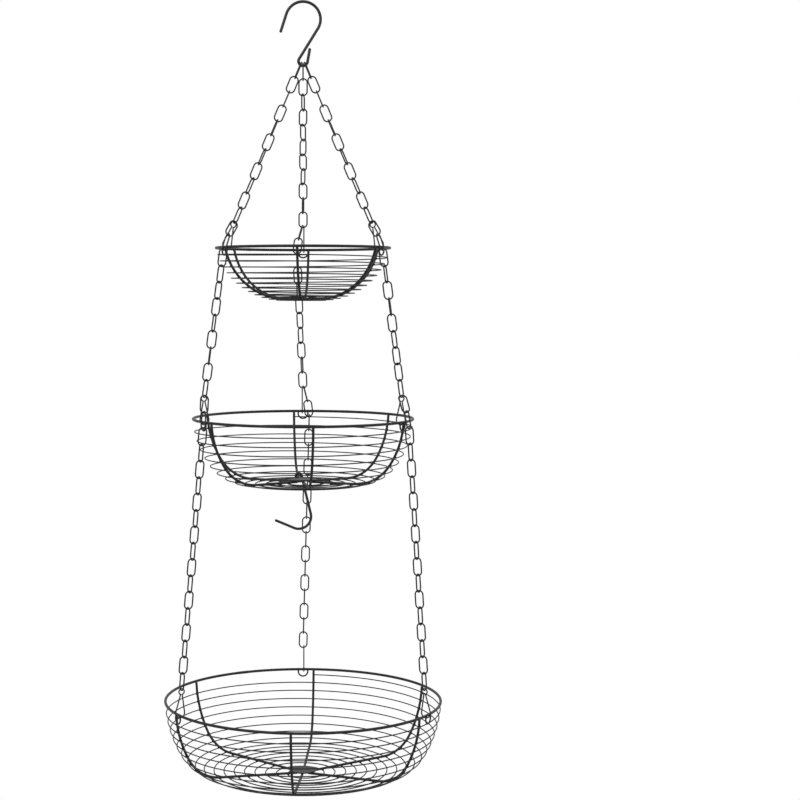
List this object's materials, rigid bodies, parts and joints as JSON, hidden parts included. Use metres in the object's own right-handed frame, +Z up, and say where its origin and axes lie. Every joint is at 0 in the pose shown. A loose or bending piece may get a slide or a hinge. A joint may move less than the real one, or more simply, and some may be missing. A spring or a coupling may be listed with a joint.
{
  "type": "hanging fruit basket",
  "caption": "Hanging fruit basket: wound wire baskets under one another on link chains, with a hook at the top and a spare hook underneath.",
  "frame": {"origin": "centre of the top hook's large crook, where the support lies", "axes": "+Z up, X left to right in the plane of the top hook, front faces -Y"},
  "size_m": [0.305, 0.309, 0.8437],
  "materials": {
    "basket_metal": "satin black paint",
    "chain_metal": "satin black paint",
    "clip_metal": "satin black paint",
    "hook_metal": "gloss black paint"
  },
  "bodies": {
    "hook": {"top_hook": "hook_metal"},
    "small_tier": {"upper_chain_left": "chain_metal", "upper_chain_right": "chain_metal", "upper_chain_back": "chain_metal", "small_rim": "basket_metal", "small_ribs": "basket_metal", "small_spiral": "basket_metal", "small_disc": "basket_metal", "small_eyelets": "basket_metal", "small_clip_left": "clip_metal", "small_clip_right": "clip_metal", "small_clip_back": "clip_metal", "middle_lead_left": "chain_metal", "middle_lead_right": "chain_metal", "middle_lead_back": "chain_metal"},
    "middle_chain_back": {"middle_chain_back": "chain_metal"},
    "middle_chain_left": {"middle_chain_left": "chain_metal"},
    "middle_chain_right": {"middle_chain_right": "chain_metal"},
    "middle_tier": {"middle_rim": "basket_metal", "middle_ribs": "basket_metal", "middle_spiral": "basket_metal", "middle_disc": "basket_metal", "middle_eyelets": "basket_metal", "middle_clip_left": "clip_metal", "middle_clip_right": "clip_metal", "middle_clip_back": "clip_metal", "lower_lead_left": "chain_metal", "lower_lead_right": "chain_metal", "lower_lead_back": "chain_metal"},
    "lower_chain_back": {"lower_chain_back": "chain_metal"},
    "lower_chain_left": {"lower_chain_left": "chain_metal"},
    "lower_chain_right": {"lower_chain_right": "chain_metal"},
    "large_tier": {"large_rim": "basket_metal", "large_ribs": "basket_metal", "large_spiral": "basket_metal", "large_disc": "basket_metal", "large_eyelets": "basket_metal", "large_clip_left": "clip_metal", "large_clip_right": "clip_metal", "large_clip_back": "clip_metal"},
    "spare_hook": {"spare_hook": "hook_metal"}
  },
  "joints": [
    {"name": "small_basket_swing", "type": "hinge", "parent": "hook", "child": "small_tier", "pos_m": [0, 0, -0.0495], "axis": [1, 0, 0], "range_deg": [-20, 20]},
    {"name": "middle_chain_back_swing", "type": "hinge", "parent": "small_tier", "child": "middle_chain_back", "pos_m": [-0.0072, 0.1006, -0.24785], "axis": [1, 0, 0], "range_deg": [-7, 7]},
    {"name": "middle_chain_left_swing", "type": "hinge", "parent": "small_tier", "child": "middle_chain_left", "pos_m": [-0.08352, -0.05654, -0.24785], "axis": [1, 0, 0], "range_deg": [-7, 7]},
    {"name": "middle_chain_right_swing", "type": "hinge", "parent": "small_tier", "child": "middle_chain_right", "pos_m": [0.08352, -0.05654, -0.24785], "axis": [1, 0, 0], "range_deg": [-7, 7]},
    {"name": "middle_basket_level", "type": "hinge", "parent": "middle_chain_back", "child": "middle_tier", "pos_m": [0, 0.1202, -0.4023], "axis": [1, 0, 0], "range_deg": [-7, 7]},
    {"name": "lower_chain_back_swing", "type": "hinge", "parent": "middle_tier", "child": "lower_chain_back", "pos_m": [0.0072, 0.1254, -0.43557], "axis": [1, 0, 0], "range_deg": [-7, 7]},
    {"name": "lower_chain_left_swing", "type": "hinge", "parent": "middle_tier", "child": "lower_chain_left", "pos_m": [-0.105, -0.06893, -0.43557], "axis": [1, 0, 0], "range_deg": [-7, 7]},
    {"name": "lower_chain_right_swing", "type": "hinge", "parent": "middle_tier", "child": "lower_chain_right", "pos_m": [0.1122, -0.05647, -0.43557], "axis": [1, 0, 0], "range_deg": [-7, 7]},
    {"name": "large_basket_level", "type": "hinge", "parent": "lower_chain_back", "child": "large_tier", "pos_m": [0, 0.1485, -0.71181], "axis": [0.9984, -0.0567, 0], "range_deg": [-7, 7]},
    {"name": "spare_hook_swing", "type": "hinge", "parent": "middle_tier", "child": "spare_hook", "pos_m": [-0.00487, 0.05456, -0.49898], "axis": [-0.0889, 0.996, 0], "range_deg": [-25, 25]}
  ],
  "couplings": [
    {"joint": "middle_chain_left_swing", "follows": "middle_chain_back_swing", "ratio": 1},
    {"joint": "middle_chain_right_swing", "follows": "middle_chain_back_swing", "ratio": 1},
    {"joint": "middle_basket_level", "follows": "middle_chain_back_swing", "ratio": -0.87},
    {"joint": "lower_chain_left_swing", "follows": "lower_chain_back_swing", "ratio": 1},
    {"joint": "lower_chain_right_swing", "follows": "lower_chain_back_swing", "ratio": 1},
    {"joint": "large_basket_level", "follows": "lower_chain_back_swing", "ratio": -0.845}
  ]
}
